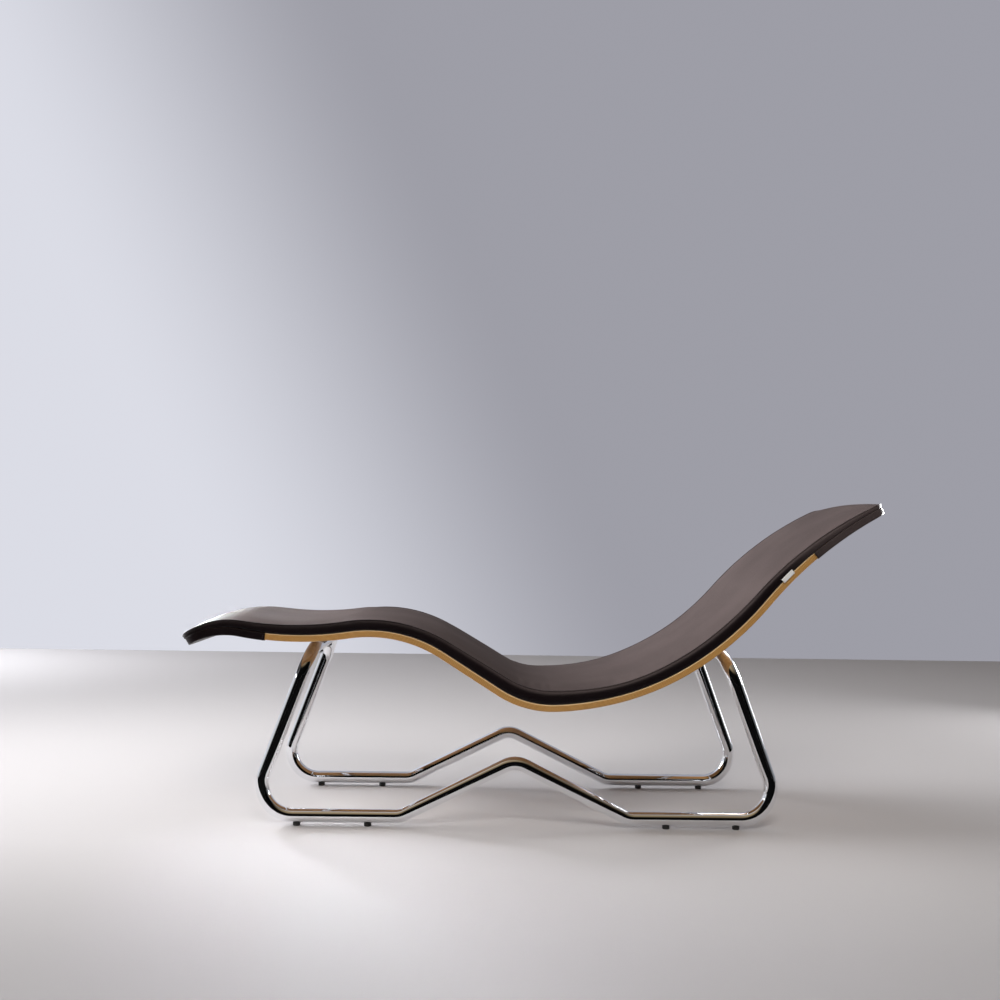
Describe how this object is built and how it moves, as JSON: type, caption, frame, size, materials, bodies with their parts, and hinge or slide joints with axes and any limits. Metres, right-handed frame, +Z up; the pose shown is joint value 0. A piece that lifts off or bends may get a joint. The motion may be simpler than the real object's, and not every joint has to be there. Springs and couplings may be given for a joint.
{
  "type": "relaxation lounger",
  "caption": "Padded lounger: a moulded plywood shell in a lazy S under a leather pad, held by cross tubes between two bent chrome tube frames. It has no moving parts.",
  "frame": {"origin": "on the floor under the middle of the outline", "axes": "+X from the foot end to the head end, +Y to the sitter's right, +Z up"},
  "size_m": [1.8288, 0.65, 0.8644],
  "materials": {
    "leather": "smooth, slightly glossy, dark brown",
    "plywood": "clear satin lacquer, veneers visible on the edge",
    "chrome": "polished chrome plate",
    "foam": "open-cell foam",
    "lining_cloth": "plain woven cloth",
    "tape": "hook and loop pile",
    "tab_cloth": "plain woven, white, blank",
    "plain_steel": "drawn tube, unplated",
    "zinc": "zinc plated",
    "black_plastic": "matt moulded",
    "glide_rubber": "matt moulded"
  },
  "bodies": {
    "root": {"plywood_shell": "plywood", "hook_tapes": "tape", "loop_tapes": "tape", "pad_lining": "lining_cloth", "foam_core": "foam", "top_panel": "leather", "left_side_panel": "leather", "right_side_panel": "leather", "foot_pocket": "leather", "head_pocket": "leather", "foot_end_panel": "leather", "head_end_panel": "leather", "side_tab": "tab_cloth", "left_frame_tube": "chrome", "right_frame_tube": "chrome", "front_cross_tube": "chrome", "rear_cross_tube": "chrome", "joint_sleeves": "plain_steel", "front_saddles": "black_plastic", "rear_saddles": "black_plastic", "saddle_washers": "black_plastic", "shell_bolts": "zinc", "tee_nuts": "zinc", "left_front_outer_glide": "glide_rubber", "left_front_inner_glide": "glide_rubber", "left_rear_inner_glide": "glide_rubber", "left_rear_outer_glide": "glide_rubber", "right_front_outer_glide": "glide_rubber", "right_front_inner_glide": "glide_rubber", "right_rear_inner_glide": "glide_rubber", "right_rear_outer_glide": "glide_rubber"}
  },
  "joints": []
}
